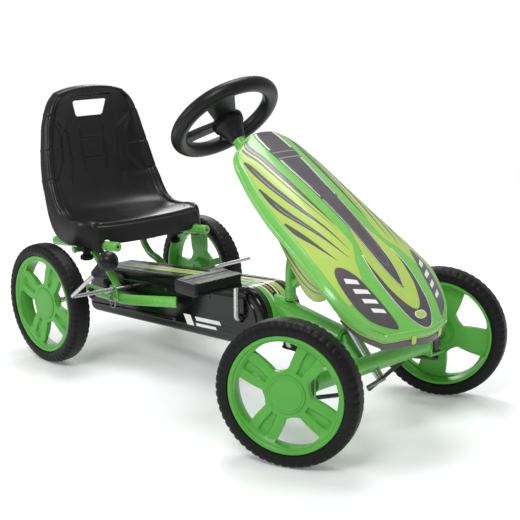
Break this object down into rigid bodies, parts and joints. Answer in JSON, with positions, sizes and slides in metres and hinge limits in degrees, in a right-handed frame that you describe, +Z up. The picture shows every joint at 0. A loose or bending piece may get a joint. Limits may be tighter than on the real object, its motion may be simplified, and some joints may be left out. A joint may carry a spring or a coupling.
{
  "type": "pedal go kart",
  "caption": "Child's pedal go kart with a bucket seat on rails, enclosed chain drive, bonnet fairing, steered front wheels, spoked rims with foam tyres and a hand brake.",
  "frame": {"origin": "on the ground under the middle of the kart's outline", "axes": "+X towards the nose, +Y towards the driver's left, +Z up"},
  "size_m": [0.9985, 0.5898, 0.6129],
  "materials": {
    "green_paint": "powder-coated gloss",
    "lime_plastic": "gloss moulding with printed bands",
    "green_plastic": "satin moulding",
    "black_plastic": "fine-grained moulding",
    "black_gloss": "gloss moulding",
    "grey_plastic": "gloss moulding",
    "steel": "zinc-plated",
    "chain_steel": "oiled",
    "black_steel": "black satin paint",
    "tyre_foam": "moulded foam tread"
  },
  "bodies": {
    "chassis": {"main_tube": "green_paint", "crank_bearing": "steel", "front_beam": "green_paint", "beam_post": "green_paint", "kingpin_yoke_right": "green_paint", "kingpin_yoke_left": "green_paint", "head_tube": "green_paint", "column_stay": "green_paint", "stay_lug": "green_paint", "side_tube_right": "green_paint", "side_tube_left": "green_paint", "axle_bush_right": "black_plastic", "axle_bush_left": "black_plastic", "seat_post_right": "green_paint", "seat_post_left": "green_paint", "seat_rail_right": "green_paint", "seat_rail_left": "green_paint", "brake_bracket_right": "green_paint", "brake_bracket_left": "green_paint", "chain_case_right": "black_gloss", "chain_case_left": "black_gloss", "chain": "chain_steel", "fairing": "lime_plastic", "nose_band": "grey_plastic", "fairing_wing_right": "lime_plastic", "fairing_wing_left": "lime_plastic"},
    "seat": {"seat_shell": "black_plastic", "seat_clamp_right": "black_plastic", "seat_clamp_left": "black_plastic"},
    "seat_knob_right": {"seat_knob_right": "black_plastic"},
    "seat_knob_left": {"seat_knob_left": "black_plastic"},
    "rear_axle": {"rear_axle": "steel", "axle_sprocket": "chain_steel", "rim_rear_right": "green_plastic", "tyre_rear_right": "tyre_foam", "hub_cap_rear_right": "green_plastic"},
    "rear_left_wheel": {"rim_rear_left": "green_plastic", "tyre_rear_left": "tyre_foam", "hub_cap_rear_left": "green_plastic"},
    "crank": {"crank_rod": "steel", "crank_sprocket": "chain_steel"},
    "pedal_right": {"pedal_right": "black_plastic"},
    "pedal_left": {"pedal_left": "black_plastic"},
    "knuckle_right": {"knuckle_right": "black_steel"},
    "knuckle_left": {"knuckle_left": "black_steel"},
    "front_right_wheel": {"rim_front_right": "green_plastic", "tyre_front_right": "tyre_foam", "hub_cap_front_right": "green_plastic"},
    "front_left_wheel": {"rim_front_left": "green_plastic", "tyre_front_left": "tyre_foam", "hub_cap_front_left": "green_plastic"},
    "tie_rod_right": {"tie_rod_right": "black_steel"},
    "tie_rod_left": {"tie_rod_left": "black_steel"},
    "steering": {"steering_column": "steel", "pitman_arm": "black_steel", "steering_wheel": "black_plastic"},
    "brake": {"brake_rod": "steel", "brake_grip": "black_plastic", "brake_ball": "black_plastic"}
  },
  "joints": [
    {"name": "seat_slide", "type": "slide", "parent": "chassis", "child": "seat", "axis": [0.995, 0, 0.0995], "range_m": [-0.02, 0.045]},
    {"name": "knob_right_turn", "type": "hinge", "parent": "seat", "child": "seat_knob_right", "pos_m": [-0.348, -0.12, 0.22], "axis": [0, 0, 1], "continuous": true},
    {"name": "knob_left_turn", "type": "hinge", "parent": "seat", "child": "seat_knob_left", "pos_m": [-0.348, 0.12, 0.22], "axis": [0, 0, 1], "continuous": true},
    {"name": "axle_spin", "type": "hinge", "parent": "chassis", "child": "rear_axle", "pos_m": [-0.362, 0, 0.127], "axis": [0, 1, 0], "continuous": true},
    {"name": "rear_left_spin", "type": "hinge", "parent": "rear_axle", "child": "rear_left_wheel", "pos_m": [-0.362, 0.2106, 0.127], "axis": [0, 1, 0], "continuous": true},
    {"name": "crank_spin", "type": "hinge", "parent": "chassis", "child": "crank", "pos_m": [0.0755, 0, 0.155], "axis": [0, 1, 0], "continuous": true},
    {"name": "pedal_right_spin", "type": "hinge", "parent": "crank", "child": "pedal_right", "pos_m": [0.0755, -0.1375, 0.24], "axis": [0, 1, 0], "continuous": true},
    {"name": "pedal_left_spin", "type": "hinge", "parent": "crank", "child": "pedal_left", "pos_m": [0.0755, 0.1375, 0.07], "axis": [0, 1, 0], "continuous": true},
    {"name": "steer_right", "type": "hinge", "parent": "chassis", "child": "knuckle_right", "pos_m": [0.3577, -0.181, 0.127], "axis": [0, 0, 1], "range_deg": [-49.2, 0]},
    {"name": "steer_left", "type": "hinge", "parent": "chassis", "child": "knuckle_left", "pos_m": [0.3577, 0.181, 0.127], "axis": [0, 0, 1], "range_deg": [-49.2, 0]},
    {"name": "column_turn", "type": "hinge", "parent": "chassis", "child": "steering", "pos_m": [-0.031, 0, 0.5277], "axis": [-0.6919, 0, 0.7219], "range_deg": [-98.4, 0]},
    {"name": "front_right_spin", "type": "hinge", "parent": "knuckle_right", "child": "front_right_wheel", "pos_m": [0.3781, -0.22555, 0.127], "axis": [-0.4163, 0.9092, 0], "continuous": true},
    {"name": "front_left_spin", "type": "hinge", "parent": "knuckle_left", "child": "front_left_wheel", "pos_m": [0.3373, 0.22555, 0.127], "axis": [-0.4163, 0.9092, 0], "continuous": true},
    {"name": "tie_right_swing", "type": "hinge", "parent": "knuckle_right", "child": "tie_rod_right", "pos_m": [0.30353, -0.1948, 0.088], "axis": [0, 0, 1], "range_deg": [0, 49.2]},
    {"name": "tie_left_swing", "type": "hinge", "parent": "knuckle_left", "child": "tie_rod_left", "pos_m": [0.31185, 0.14901, 0.088], "axis": [0, 0, 1], "range_deg": [0, 49.2]},
    {"name": "brake_pull", "type": "hinge", "parent": "chassis", "child": "brake", "pos_m": [-0.279, 0, 0.1495], "axis": [0, 1, 0], "range_deg": [-40, 0]}
  ],
  "couplings": [
    {"joint": "crank_spin", "follows": "axle_spin", "ratio": 0.65},
    {"joint": "steer_left", "follows": "steer_right", "ratio": 1},
    {"joint": "column_turn", "follows": "steer_right", "ratio": 2},
    {"joint": "tie_right_swing", "follows": "steer_right", "ratio": -1},
    {"joint": "tie_left_swing", "follows": "steer_right", "ratio": -1}
  ]
}
